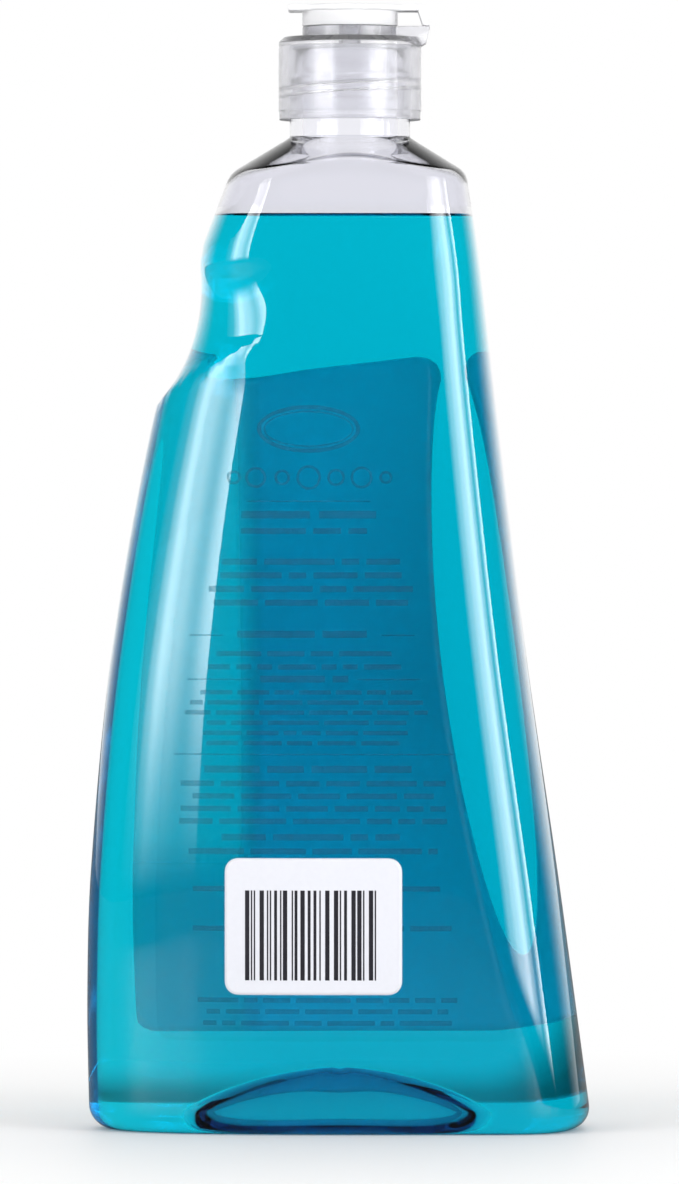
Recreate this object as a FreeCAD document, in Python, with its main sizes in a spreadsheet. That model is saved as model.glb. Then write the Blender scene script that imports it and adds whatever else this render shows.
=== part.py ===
"""A squeezable dish soap bottle, filled, with a screw-on flip-top closure.

The blown bottle is one thin shell: an oval body that widens to the foot, with a finger scoop moulded
into its left side, a sloped shoulder, a threaded finish and a pushed-up base. It holds the soap and
carries two film labels and a paper sticker. The closure screws onto the finish over a sealing ring,
and its lid swings on a film hinge at the right.

Millimetres. +X is to the right as seen from behind, -Y is the back with the sticker, +Z is up.
The origin is the middle of the foot.
"""
import FreeCAD, Part
import math
import os

V = FreeCAD.Vector
UP = V(0, 0, 1)

SIZES = [
    # heights of the body, stacked from the foot up
    ("belly_rise", 30.0, "foot to the widest part of the belly"),
    ("panel_rise", 30.0, "belly to the middle of the sticker panel"),
    ("waist_rise", 50.0, "panel to the waist"),
    ("grip_rise", 55.0, "waist to the lower end of the finger scoop"),
    ("grip_height", 35.0, "height of the finger scoop at the left edge"),
    ("upper_rise", 18.8, "scoop to the shoulder corner"),
    ("shoulder_rise", 8.3, "shoulder corner to the root of the neck"),
    # reach of the body to the left and right of the origin at those heights
    ("foot_left", 57.4, "left reach at the foot"),
    ("belly_left", 57.9, "left reach at the belly"),
    ("panel_left", 57.0, "left reach at the panel"),
    ("waist_left", 52.1, "left reach at the waist"),
    ("grip_left", 42.2, "left reach at the lower end of the scoop"),
    ("upper_left", 32.1, "left reach at the upper end of the scoop"),
    ("shoulder_left", 25.1, "left reach at the shoulder corner"),
    ("foot_right", 58.0, "right reach at the foot"),
    ("belly_right", 54.0, "right reach at the belly"),
    ("panel_right", 49.9, "right reach at the panel"),
    ("waist_right", 42.6, "right reach at the waist"),
    ("grip_right", 35.9, "right reach at the lower end of the scoop"),
    ("upper_right", 31.9, "right reach at the upper end of the scoop"),
    ("shoulder_right", 29.1, "right reach at the shoulder corner"),
    # half the front-to-back depth at those heights
    ("foot_depth", 25.0, "half depth at the foot"),
    ("belly_depth", 25.4, "half depth at the belly"),
    ("panel_depth", 25.1, "half depth at the panel"),
    ("waist_depth", 23.8, "half depth at the waist"),
    ("grip_depth", 21.9, "half depth at the lower end of the scoop"),
    ("upper_depth", 20.2, "half depth at the upper end of the scoop"),
    ("shoulder_depth", 18.9, "half depth at the shoulder corner"),
    # character of the body
    # each end of the body's section is a core with two exponents and a rounding around it
    ("low_left_across", 2.0, "left end below the scoop: exponent of the core across"),
    ("low_left_along", 2.0, "left end below the scoop: exponent of the core front to back"),
    ("low_left_rounding", 16.0, "left end below the scoop: rounding around the core"),
    ("high_left_across", 12.0, "left end above the scoop: exponent of the core across"),
    ("high_left_along", 1.5, "left end above the scoop: exponent of the core front to back"),
    ("high_left_rounding", 7.0, "left end above the scoop: rounding around the core"),
    ("right_across", 16.0, "right end: exponent of the core across"),
    ("right_along", 1.6, "right end: exponent of the core front to back"),
    ("right_rounding", 8.0, "right end: rounding around the core"),
    ("heel_radius", 5.5, "rounding between the side and the foot"),
    ("wall", 0.5, "wall of the blown body"),
    ("scoop_radius", 43.0, "radius of the scoop's profile at the left edge"),
    ("scoop_end", 12.0, "where the scoop fades out, left of the origin"),
    ("scoop_climb", 17.0, "how far its lower edge climbs on the way"),
    ("scoop_lip", 0.7, "step of the lip along its upper edge"),
    ("dent_depth", 0.7, "shallow finger dent at the right of the upper body"),
    ("dent_radius", 13.0, "size of that dent"),
    ("base_arch", 14.5, "height of the pushed-up base"),
    ("arch_length", 38.3, "half length of the arch, left to right"),
    ("arch_width", 17.5, "half width of the arch, front to back"),
    # neck finish
    ("neck_offset", 2.4, "neck axis to the right of the origin"),
    ("collar_radius", 13.8, "plain collar below the thread"),
    ("collar_height", 5.4, "height of that collar"),
    ("finish_radius", 12.6, "root of the bottle's thread"),
    ("finish_height", 14.6, "collar to the sealing land"),
    ("bore_radius", 10.9, "bore of the neck"),
    ("thread_pitch", 4.23, "rise of the thread in one turn"),
    ("thread_turns", 1.5, "turns of each thread"),
    ("thread_depth", 1.1, "height of the bottle's thread"),
    ("thread_width", 2.2, "width of a thread at its root"),
    ("thread_drop", 3.4, "top end of the bottle's thread below the land"),
    # fill
    ("fill_drop", 10.3, "level of the soap below the shoulder corner"),
    ("fill_clearance", 0.1, "gap between the soap's solid and the wall"),
    # labels
    ("film", 0.15, "thickness of a film label"),
    ("film_clearance", 0.2, "gap under a label"),
    ("label_bottom", 21.6, "lower edge of the labels above the foot"),
    ("label_height", 149.7, "lower edge of the labels to the left end of their upper edge"),
    ("label_climb", 5.5, "climb of the upper edge to its right end"),
    ("label_side_left", 12.0, "labels' upper left corner in from the left outline"),
    ("label_lean", 4.5, "how much further in their lower left corner is"),
    ("label_side_right", 14.0, "labels' edge in from the right outline"),
    ("label_bow", 6.0, "how far the middle of that edge is bowed in"),
    ("label_corner", 3.0, "corner radius of the labels"),
    ("sticker_width", 40.2, "paper sticker"),
    ("sticker_height", 31.0, "paper sticker"),
    ("sticker_corner", 3.0, "corner radius of the sticker"),
    ("sticker_left", 5.9, "middle of the sticker left of the origin"),
    ("sticker_level", 47.6, "middle of the sticker above the foot"),
    # closure
    ("seal_radius", 13.3, "outside of the sealing ring"),
    ("seal_hole", 8.0, "hole of the sealing ring"),
    ("seal_thickness", 1.0, "thickness of the sealing ring"),
    ("skirt_radius", 16.35, "outside of the closure"),
    ("skirt_wall", 2.2, "wall of the closure's skirt"),
    ("skirt_height", 19.0, "closure from its lower rim to its deck"),
    ("rim_band", 2.1, "plain band at the lower rim"),
    ("rim_step", 0.15, "how far that band stands in"),
    ("deck_thickness", 2.0, "top wall of the closure"),
    ("deck_rounding", 1.8, "rounding of the deck's edge"),
    ("ring_radius", 10.9, "raised ring on the deck, and the lid's skirt"),
    ("ring_wall", 1.2, "wall of that ring and of the lid's skirt"),
    ("ring_height", 2.4, "height of the raised ring"),
    ("spout_radius", 3.2, "spout in the middle of the deck"),
    ("spout_height", 3.2, "height of the spout"),
    ("orifice_radius", 1.75, "hole that the soap comes out of"),
    # lid
    ("lid_gap", 0.12, "parting gap under the lid"),
    ("lid_height", 4.9, "lid above the raised ring"),
    ("lid_plate", 1.4, "thickness of the lid's top"),
    ("lip_reach", 14.2, "thumb lip, from the neck axis"),
    ("lip_width", 14.0, "thumb lip, front to back"),
    ("plate_half_width", 11.6, "half of the lid's top, front to back"),
    ("plug_radius", 1.5, "root of the lid's plug"),
    ("plug_tip", 1.1, "tip of the lid's plug"),
    ("plug_depth", 2.0, "how far the plug reaches into the spout"),
    # film hinge
    ("hinge_reach", 18.3, "hinge axis, from the neck axis"),
    ("hinge_width", 11.0, "length of the hinge, front to back"),
    ("hinge_radius", 0.45, "bead of the hinge"),
    ("hinge_clearance", 0.08, "gap around that bead"),
    ("lug_lean", 1.7, "how far the lid's lug leans in at its top"),
    ("lug_drop", 3.8, "closure's lug below the hinge"),
]

doc = FreeCAD.newDocument("soap_bottle")
sheet = doc.addObject("Spreadsheet::Sheet", "Sizes")
for row, (alias, value, note) in enumerate(SIZES, start=1):
    sheet.set(f"A{row}", alias)
    sheet.set(f"B{row}", str(value))
    sheet.set(f"C{row}", note)
    sheet.setAlias(f"B{row}", alias)
doc.recompute()


def size(name):
    return float(getattr(sheet, name))


# Levels, as expressions on the sheet, so that each feature follows them
RISES = ["belly_rise", "panel_rise", "waist_rise", "grip_rise", "grip_height", "upper_rise", "shoulder_rise"]
NECK_ROOT = "(" + " + ".join("Sizes." + rise for rise in RISES) + ")"
FINISH_ROOT = f"({NECK_ROOT} + Sizes.collar_height)"
LAND = f"({FINISH_ROOT} + Sizes.finish_height)"
DECK_UNDERSIDE = f"({LAND} + Sizes.seal_thickness)"
DECK = f"({DECK_UNDERSIDE} + Sizes.deck_thickness)"
SKIRT_RIM = f"({DECK} - Sizes.skirt_height)"
PARTING = f"({DECK} + Sizes.ring_height)"
SPOUT_TOP = f"({DECK} + Sizes.spout_height)"
LID_FOOT = f"({PARTING} + Sizes.lid_gap)"
LID_TOP = f"({PARTING} + Sizes.lid_height)"


def level(expression):
    """The height in millimetres that a level's expression gives."""
    return sheet.evalExpression(expression)


def feature(kind, name, **bound):
    """A document object whose named properties follow expressions on the sheet."""
    made = doc.addObject(kind, name)
    for prop, expression in bound.items():
        made.setExpression(prop.replace("__", ".Base."), expression)
    return made


def on_neck(kind, name, bottom, **bound):
    """A primitive on the neck's axis, standing on a level."""
    return feature(kind, name, Placement__x="Sizes.neck_offset", Placement__z=bottom, **bound)


def join(kind, name, pieces):
    made = doc.addObject(kind, name)
    made.Shapes = pieces
    return made


def cut(name, base, tool):
    made = doc.addObject("Part::Cut", name)
    made.Base = base
    made.Tool = tool
    return made


def solid_feature(name, shape):
    made = doc.addObject("Part::Feature", name)
    made.Shape = shape
    return made


# The body's form: smooth curves through the stations

def running_total(names):
    total, heights = 0.0, [0.0]
    for name in names:
        total += size(name)
        heights.append(total)
    return heights


STATIONS = ["foot", "belly", "panel", "waist", "grip", "upper", "shoulder"]
STATION_LEVELS = running_total(RISES[:-1])
LEFT = [size(station + "_left") for station in STATIONS]
RIGHT = [size(station + "_right") for station in STATIONS]
DEPTH = [size(station + "_depth") for station in STATIONS]
SHOULDER_LEVEL = STATION_LEVELS[-1]
GRIP_LEVEL = STATION_LEVELS[4]
UPPER_LEVEL = STATION_LEVELS[5]


def through(values, z):
    """A smooth curve through the stations' values, read at height z."""
    levels = STATION_LEVELS
    last = len(levels) - 1
    slopes = []
    for i in range(len(levels)):
        low, high = max(i - 1, 0), min(i + 1, last)
        slopes.append((values[high] - values[low]) / (levels[high] - levels[low]))
    i = min(max(sum(z >= part for part in levels) - 1, 0), last - 1)
    span = levels[i + 1] - levels[i]
    s = (z - levels[i]) / span
    return (
        (2 * s**3 - 3 * s**2 + 1) * values[i]
        + (s**3 - 2 * s**2 + s) * span * slopes[i]
        + (3 * s**2 - 2 * s**3) * values[i + 1]
        + (s**3 - s**2) * span * slopes[i + 1]
    )


def body_section(z):
    """(left reach, right reach, half depth) of the oval at a height of the body."""
    return through(LEFT, z), through(RIGHT, z), through(DEPTH, z)


def end_of_section(name):
    """(exponent across, exponent front to back, rounding) of one end of the body's section."""
    return [size(name + "_across"), size(name + "_along"), size(name + "_rounding")]


def section_ends(z):
    """The left and the right end of the section at a height."""
    share = min(max((z - GRIP_LEVEL) / size("grip_height"), 0), 1)
    share = share * share * (3 - 2 * share)
    low, high = end_of_section("low_left"), end_of_section("high_left")
    return [a + (b - a) * share for a, b in zip(low, high)], end_of_section("right")


COLUMNS = 80
OVERLAP = 4
FINE_STEPS = 1600


def oval(left, right, depth, ends):
    """Points spread evenly around a section from its left tip, with their outward normals.

    The section's halves have their own ends. A few points past each end close it smoothly.
    """
    middle = (right - left) / 2
    fine = []
    for i in range(FINE_STEPS + 1):
        turn = -math.pi + 2 * math.pi * i / FINE_STEPS
        c, s = math.cos(turn), math.sin(turn)
        across, along, rounding = ends[0] if c < 0 else ends[1]
        half, wide = (right + left) / 2 - rounding, depth - rounding
        x = math.copysign(abs(c) ** (2 / across), c)
        y = math.copysign(abs(s) ** (2 / along), s)
        normal = V(
            math.copysign(across * abs(x) ** (across - 1), x) / half,
            math.copysign(along * abs(y) ** (along - 1), y) / wide,
            0,
        ).normalize()
        fine.append((V(middle + half * x, wide * y, 0) + normal * rounding, normal))
    along = [0.0]
    for (here, _), (there, _) in zip(fine, fine[1:]):
        along.append(along[-1] + (there - here).Length)
    ring, at = [], 0
    for i in range(COLUMNS):
        wanted = along[-1] * i / COLUMNS
        while along[at + 1] < wanted:
            at += 1
        share = (wanted - along[at]) / (along[at + 1] - along[at])
        place = fine[at][0] * (1 - share) + fine[at + 1][0] * share
        ring.append((place, (fine[at][1] * (1 - share) + fine[at + 1][1] * share).normalize()))
    return ring[-OVERLAP:] + ring + ring[: OVERLAP + 1]


LIP_STEP = 2.0


def scoop_depth(x, z, left):
    """How deep the finger scoop is at a point, from the profile it has at the left edge."""
    across = max(x + left, 0) / (left - size("scoop_end"))
    lower_edge = GRIP_LEVEL + size("scoop_climb") * across**0.55
    if across >= 1 or not lower_edge < z < UPPER_LEVEL + LIP_STEP:
        return 0.0
    lip = size("scoop_lip") * (1 - math.exp((z - UPPER_LEVEL - LIP_STEP) / LIP_STEP)) * (1 - across)
    if z >= UPPER_LEVEL:
        return lip
    seen = UPPER_LEVEL - (UPPER_LEVEL - z) * size("grip_height") / (UPPER_LEVEL - lower_edge)
    radius = size("scoop_radius")
    deepest = UPPER_LEVEL - size("grip_height") / 5
    arc = radius - math.sqrt(max(radius**2 - (seen - deepest) ** 2, 0))
    profile = through(LEFT, seen) - (size("upper_left") - 0.4 + arc)
    return max(profile * (1 - across), lip)


def dent_depth(x, z):
    """The shallow dent for a finger at the right of the upper body."""
    centre_x, centre_z = size("upper_right") - 9, UPPER_LEVEL - 4
    away = math.hypot(x - centre_x, z - centre_z) / size("dent_radius")
    return size("dent_depth") * math.exp(-(away**2) * 2)


HEEL_STEPS = 6
BODY_STEPS = 34
CORNER_START = 4.2
CORNER_REACH = 2.2
CORNER_STEPS = 3
SHOULDER_STEPS = 3
CIRCLE_ENDS = ((2, 2, 0), (2, 2, 0))


def skin_row(z, back):
    """One level row of points of the body's skin, set in by back."""
    left, right, depth = body_section(z)
    row = []
    for place, normal in oval(left, right, depth, section_ends(z)):
        sink = back + scoop_depth(place.x, z, left) + dent_depth(place.x, z) * abs(normal.y)
        row.append(place - normal * sink + UP * z)
    return row


def shoulder_rows(below, side, top_radius):
    """Rows from under the shoulder's rounded corner up to the root of the neck.

    Side is the row at the corner's level, below the one CORNER_START under it. The corner stands
    higher where the way in to the neck is shorter.
    """
    rise, offset = size("shoulder_rise"), size("neck_offset")
    circle = oval(top_radius - offset, top_radius + offset, top_radius, CIRCLE_ENDS)
    root = [place + UP * (side[0].z + rise) for place, _ in circle]
    runs = [math.hypot(point.x - end.x, point.y - end.y) for point, end in zip(side, root)]
    columns = []
    for low, high, end, run in zip(below, side, root, runs):
        slope = (high - low) * (1 / CORNER_START)
        corner = high + slope * (rise * (1 - math.sqrt(run / max(runs))))
        before = corner - slope * CORNER_REACH
        way = end - corner
        after = corner + way * (CORNER_REACH / way.Length)
        column = []
        for step in range(CORNER_STEPS + 1):
            t = step / CORNER_STEPS
            column.append(before * (1 - t) ** 2 + corner * (2 * t * (1 - t)) + after * t**2)
        for step in range(1, SHOULDER_STEPS + 1):
            column.append(after + (end - after) * (step / SHOULDER_STEPS))
        columns.append(column)
    return [list(row) for row in zip(*columns)]


def blown_rows(inset, floor, top_radius):
    """Rows of points of the body's skin, set in from the outside by inset, from the floor up to the neck."""
    heel = size("heel_radius") - inset
    rows = []
    for step in range(HEEL_STEPS + 1):
        lean = math.pi / 2 * step / HEEL_STEPS
        z = floor + heel * (1 - math.cos(lean))
        rows.append(skin_row(z, inset + heel * (1 - math.sin(lean))))
    lower, top = floor + heel, SHOULDER_LEVEL - inset
    for step in range(1, BODY_STEPS + 1):
        rows.append(skin_row(lower + (top - CORNER_START - lower) * step / BODY_STEPS, inset))
    return rows + shoulder_rows(rows[-1], skin_row(top, inset), top_radius)


def skin_solid(rows):
    """A solid inside a closed skin, shut by a flat face at each end."""
    skin = Part.BSplineSurface()
    skin.interpolate(rows)
    ends = ((1, rows[0][0].z), (skin.NbUPoles, rows[-1][0].z))
    for row, z in ends:
        for column in range(1, skin.NbVPoles + 1):
            pole = skin.getPole(row, column)
            skin.setPole(row, column, FreeCAD.Vector(pole.x, pole.y, z))
    knots = skin.getVKnots()
    seams = [knots[OVERLAP + i * COLUMNS // 2] for i in range(3)]
    low_u, high_u = skin.bounds()[:2]
    faces = []
    for start, end in zip(seams, seams[1:]):
        half = skin.copy()
        half.segment(low_u, high_u, start, end)
        faces.append(half.toShape())
    for _, z in ends:
        rim = []
        for face in faces[:2]:
            rim += [edge for edge in face.Edges if all(abs(v.Z - z) < 1e-3 for v in edge.Vertexes)]
        faces.append(Part.Face(Part.Wire(rim)))
    return Part.Solid(Part.Shell(faces))


ARCH_STEPS = 12


def arch_solid(length, width, height, floor):
    """The pushed-up base: a steep vault towards its ends and a gentle one towards front and back."""
    rows = []
    for step in range(ARCH_STEPS):
        share = math.cos(math.pi / 2 * step / ARCH_STEPS)
        ring = []
        for i in range(COLUMNS):
            turn = -math.pi + 2 * math.pi * i / COLUMNS
            front = math.sin(turn) ** 2
            rise = (1 - share**1.7) ** (0.65 + 0.35 * front) - 0.5 * front * share * (1 - share)
            ring.append(V(length * share * math.cos(turn), width * share * math.sin(turn), floor + height * rise))
        rows.append(ring[-OVERLAP:] + ring + ring[: OVERLAP + 1])
    return skin_solid(rows)


def thread_solid(radius, depth, start, flank):
    """A helical thread on the neck's axis. A negative depth points inwards."""
    root, tip = size("thread_width") / 2, size("thread_width") / 4
    bury = -math.copysign(0.2, depth)
    profile = Part.makePolygon(
        [
            V(radius + bury, 0, -root),
            V(radius, 0, -root),
            V(radius + depth, 0, -tip),
            V(radius + depth, 0, tip),
            V(radius, 0, root),
            V(radius + bury, 0, root),
            V(radius + bury, 0, -root),
        ]
    )
    pitch = size("thread_pitch")
    path = Part.makeHelix(pitch, pitch * size("thread_turns"), radius)
    thread = Part.Wire(path.Edges).makePipeShell([profile], True, True)
    thread.rotate(V(0, 0, 0), UP, flank)
    thread.translate(V(size("neck_offset"), 0, start))
    return thread


# Bottle

outer = solid_feature("blown_outside", skin_solid(blown_rows(0, 0, size("collar_radius"))))
hollow_rows = blown_rows(size("wall"), size("wall"), size("bore_radius"))
inner = solid_feature("blown_hollow", skin_solid(hollow_rows))
arch = solid_feature(
    "base_arch_outside", arch_solid(size("arch_length"), size("arch_width"), size("base_arch"), 0)
)
arch_over = solid_feature(
    "base_arch_inside",
    arch_solid(
        size("arch_length") + size("wall"), size("arch_width") + size("wall"), size("base_arch"), size("wall")
    ),
)
collar = on_neck("Part::Cylinder", "collar", NECK_ROOT, Radius="Sizes.collar_radius", Height="Sizes.collar_height")
finish = on_neck("Part::Cylinder", "finish", FINISH_ROOT, Radius="Sizes.finish_radius", Height="Sizes.finish_height")
bore = on_neck(
    "Part::Cylinder",
    "bore",
    f"{NECK_ROOT} - Sizes.wall",
    Radius="Sizes.bore_radius",
    Height="Sizes.wall + Sizes.collar_height + Sizes.finish_height",
)
doc.recompute()
thread_top = level(LAND) - size("thread_drop")
thread_foot = thread_top - size("thread_pitch") * size("thread_turns")
thread = solid_feature("finish_thread", thread_solid(size("finish_radius"), size("thread_depth"), thread_foot, 0))
outside = join("Part::MultiFuse", "bottle_outside", [outer, collar, finish, thread])
cavity = cut("cavity", inner, arch_over)
inside = join("Part::MultiFuse", "bottle_inside", [cavity, bore])
arched = cut("arched_outside", outside, arch)
bottle = cut("bottle", arched, inside)


# Soap

level_of_soap = f"({NECK_ROOT} - Sizes.shoulder_rise - Sizes.fill_drop)"
clearance = size("fill_clearance")
soap_rows = blown_rows(size("wall") + clearance, size("wall") + clearance, size("bore_radius") - clearance)
soap_skin = solid_feature("soap_skin", skin_solid(soap_rows))
soap_arch = solid_feature(
    "base_arch_clear",
    arch_solid(
        size("arch_length") + size("wall") + clearance,
        size("arch_width") + size("wall") + clearance,
        size("base_arch"),
        size("wall") + clearance,
    ),
)
headspace = feature(
    "Part::Box",
    "headspace",
    Length="400",
    Width="400",
    Height="100",
    Placement__x="-200",
    Placement__y="-200",
    Placement__z=level_of_soap,
)
soap_filled = cut("soap_filled", soap_skin, soap_arch)
liquid = cut("liquid", soap_filled, headspace)


# Labels: thin films that follow the body

def label_edge(z, side):
    """Where a side edge of the labels lies at a height."""
    left, right, _ = body_section(z)
    share = (z - size("label_bottom")) / size("label_height")
    if side < 0:
        return size("label_side_left") + size("label_lean") * (1 - share) - left
    return right - size("label_side_right") - size("label_bow") * 4 * share * max(1 - share, 0)


def label_outline(side_y):
    """The outline of a label, pushed through the front or the back half of the body."""
    low = size("label_bottom")
    high_left = low + size("label_height")
    high_right = high_left + size("label_climb")
    edges = []
    for side, high in ((-1, high_left), (1, high_right)):
        heights = [low + (high - low) * i / 8 for i in range(9)]
        curve = Part.BSplineCurve()
        curve.interpolate([V(label_edge(z, side), 0, z) for z in heights])
        edges.append(curve)
    left, right = edges
    outline = Part.Wire(
        [
            left.toShape(),
            Part.makeLine(left.value(left.LastParameter), right.value(right.LastParameter)),
            right.toShape(),
            Part.makeLine(right.value(right.FirstParameter), left.value(left.FirstParameter)),
        ]
    )
    prism = Part.Face(outline).extrude(V(0, 60 * side_y, 0))
    corners = [edge for edge in prism.Edges if edge.BoundBox.XLength < 1e-6 and edge.BoundBox.ZLength < 1e-6]
    return prism.makeFillet(size("label_corner"), corners)


def sticker_outline(side_y):
    block = Part.makeBox(
        size("sticker_width"),
        60,
        size("sticker_height"),
        V(
            -size("sticker_left") - size("sticker_width") / 2,
            min(side_y, 0) * 60,
            size("sticker_level") - size("sticker_height") / 2,
        ),
    )
    corners = [edge for edge in block.Edges if edge.BoundBox.XLength < 1e-6 and edge.BoundBox.ZLength < 1e-6]
    return block.makeFillet(size("sticker_corner"), corners)


def film_skin(name, clear):
    rows = blown_rows(-clear, 0, size("collar_radius"))
    return solid_feature(name, skin_solid(rows))


gap, film = size("film_clearance"), size("film")
under_label = film_skin("under_label", gap)
over_label = film_skin("over_label", gap + film)
under_sticker = film_skin("under_sticker", 2 * gap + film)
over_sticker = film_skin("over_sticker", 2 * gap + 2 * film)
front_outline = solid_feature("front_outline", label_outline(1))
back_outline = solid_feature("back_outline", label_outline(-1))
paper_outline = solid_feature("paper_outline", sticker_outline(-1))


def film_label(name, outline, over, under):
    """The part of a thin skin that lies within an outline."""
    block = doc.addObject("Part::MultiCommon", name + "_block")
    block.Shapes = [over, outline]
    return cut(name, block, under)


front_label = film_label("front_label", front_outline, over_label, under_label)
back_label = film_label("back_label", back_outline, over_label, under_label)
sticker = film_label("code_sticker", paper_outline, over_sticker, under_sticker)


# Sealing ring

seal_disc = on_neck("Part::Cylinder", "seal_disc", LAND, Radius="Sizes.seal_radius", Height="Sizes.seal_thickness")
seal_bore = on_neck("Part::Cylinder", "seal_bore", LAND, Radius="Sizes.seal_hole", Height="Sizes.seal_thickness")
seal = cut("sealing_ring", seal_disc, seal_bore)


# Closure

def upright(name, points, width):
    """A prism across the closure: points of its side view from the neck's axis, and its width."""
    corners = [V(size("neck_offset") + x, -width / 2, z) for x, z in points]
    face = Part.Face(Part.makePolygon(corners + corners[:1]))
    return solid_feature(name, face.extrude(V(0, width, 0)))


def cross_rod(kind_name, radius, margin):
    """A rod along the hinge axis."""
    rod = feature(
        "Part::Cylinder",
        kind_name,
        Radius=radius,
        Height=f"Sizes.hinge_width + 2 * {margin}",
        Placement__x="Sizes.neck_offset + Sizes.hinge_reach",
        Placement__y=f"Sizes.hinge_width / 2 + {margin}",
        Placement__z=PARTING,
    )
    rod.Placement.Rotation = FreeCAD.Rotation(V(1, 0, 0), 90)
    return rod


skirt = on_neck("Part::Cylinder", "skirt", SKIRT_RIM, Radius="Sizes.skirt_radius", Height="Sizes.skirt_height")
doc.recompute()
top_edge = [
    number
    for number, edge in enumerate(skirt.Shape.Edges, start=1)
    if edge.Closed and edge.BoundBox.ZMin > level(DECK) - 1e-6
][0]
shell_top = doc.addObject("Part::Fillet", "rounded_skirt")
shell_top.Base = skirt
shell_top.Edges = [(top_edge, size("deck_rounding"), size("deck_rounding"))]
rim_ring = on_neck("Part::Cylinder", "rim_ring", SKIRT_RIM, Radius="Sizes.skirt_radius + 1", Height="Sizes.rim_band")
rim_core = on_neck(
    "Part::Cylinder", "rim_core", SKIRT_RIM, Radius="Sizes.skirt_radius - Sizes.rim_step", Height="Sizes.rim_band"
)
rim_cut = cut("rim_cut", rim_ring, rim_core)
raised_ring = on_neck(
    "Part::Cylinder", "raised_ring", f"{DECK} - 0.5", Radius="Sizes.ring_radius", Height="Sizes.ring_height + 0.5"
)
ring_hollow = on_neck(
    "Part::Cylinder", "ring_hollow", DECK, Radius="Sizes.ring_radius - Sizes.ring_wall", Height="Sizes.ring_height"
)
ring_wall = cut("ring_wall", raised_ring, ring_hollow)
spout = on_neck("Part::Cylinder", "spout", f"{DECK} - 0.5", Radius="Sizes.spout_radius", Height="Sizes.spout_height + 0.5")
reach, parting, deck = size("hinge_reach"), level(PARTING), level(DECK)
drop, half_gap = size("lug_drop"), size("lid_gap") / 2
closure_lug = upright(
    "closure_lug",
    [
        (size("ring_radius") - 0.6, parting - half_gap),
        (reach, parting - half_gap),
        (reach - 0.8, parting - drop),
        (size("skirt_radius") - 0.6, parting - drop - 1.0),
        (size("ring_radius") - 0.6, parting - drop),
    ],
    size("hinge_width"),
)
bead = cross_rod("hinge_bead", "Sizes.hinge_radius", "0")
closure_outside = join("Part::MultiFuse", "closure_outside", [shell_top, ring_wall, spout, closure_lug, bead])
closure_bore = on_neck(
    "Part::Cylinder",
    "closure_bore",
    SKIRT_RIM,
    Radius="Sizes.skirt_radius - Sizes.skirt_wall",
    Height="Sizes.skirt_height - Sizes.deck_thickness",
)
orifice = on_neck(
    "Part::Cylinder", "orifice", DECK_UNDERSIDE, Radius="Sizes.orifice_radius", Height="Sizes.spout_height + 5"
)
closure_hollow = join("Part::MultiFuse", "closure_hollow", [closure_bore, rim_cut, orifice])
closure_shell = cut("closure_shell", closure_outside, closure_hollow)
bore_wall = size("skirt_radius") - size("skirt_wall")
inner_thread = solid_feature(
    "closure_thread",
    thread_solid(bore_wall, -size("thread_depth"), thread_foot - size("thread_pitch") / 2, 0),
)
closure = join("Part::MultiFuse", "closure", [closure_shell, inner_thread])


# Flip lid

lid_wall = on_neck(
    "Part::Cylinder",
    "lid_wall",
    LID_FOOT,
    Radius="Sizes.ring_radius",
    Height="Sizes.lid_height - Sizes.lid_gap",
)
lid_hollow = on_neck(
    "Part::Cylinder",
    "lid_hollow",
    LID_FOOT,
    Radius="Sizes.ring_radius - Sizes.ring_wall",
    Height="Sizes.lid_height - Sizes.lid_gap - Sizes.lid_plate",
)
plate_foot = f"({LID_TOP} - Sizes.lid_plate)"
lid_plate = on_neck("Part::Cylinder", "lid_plate", plate_foot, Radius="Sizes.plate_half_width", Height="Sizes.lid_plate")
lip = feature(
    "Part::Box",
    "thumb_lip",
    Length="Sizes.lip_reach",
    Width="Sizes.lip_width",
    Height="Sizes.lid_plate",
    Placement__x="Sizes.neck_offset - Sizes.lip_reach",
    Placement__y="-Sizes.lip_width / 2",
    Placement__z=plate_foot,
)
lid_top, lean = level(LID_TOP), size("lug_lean")
lid_lug = upright(
    "lid_lug",
    [
        (size("ring_radius") - 0.6, lid_top),
        (reach - lean, lid_top),
        (reach, parting + half_gap),
        (reach - 1.6, parting + half_gap),
        (reach - lean - 1.6, lid_top - size("lid_plate")),
        (size("ring_radius") - 0.6, lid_top - size("lid_plate")),
    ],
    size("hinge_width"),
)
bead_room = cross_rod("bead_room", "Sizes.hinge_radius + Sizes.hinge_clearance", "1")
plug_height = f"({plate_foot} - {SPOUT_TOP} + Sizes.plug_depth)"
plug = on_neck(
    "Part::Cone",
    "plug",
    f"{SPOUT_TOP} - Sizes.plug_depth",
    Radius1="Sizes.plug_tip",
    Radius2="Sizes.plug_radius",
    Height=f"{plug_height} + 0.3",
)
lid_cup = cut("lid_cup", lid_wall, lid_hollow)
lid_whole = join("Part::MultiFuse", "lid_whole", [lid_cup, lid_plate, lip, lid_lug, plug])
lid = cut("flip_lid", lid_whole, bead_room)

doc.recompute()

# Export, once everything has built

NODES = [bottle, liquid, front_label, back_label, sticker, seal, closure, lid]
for made in doc.Objects:
    if "Invalid" in made.State or "Error" in made.State:
        raise RuntimeError(f"{made.Name} did not build: {made.State}")
os.makedirs("parts", exist_ok=True)
for node in NODES:
    shape = node.Shape
    if shape.isNull() or not shape.isValid():
        raise RuntimeError(f"{node.Name} has no valid shape")
    box = shape.BoundBox
    print(
        f"{node.Name}: {shape.Volume:.0f} mm3, {len(shape.Solids)} solid(s), "
        f"x {box.XMin:.2f} to {box.XMax:.2f}, y {box.YMin:.2f} to {box.YMax:.2f}, "
        f"z {box.ZMin:.2f} to {box.ZMax:.2f}"
    )
    node.Label = node.Name
    shape.exportStep(f"parts/{node.Name}.step")
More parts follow.
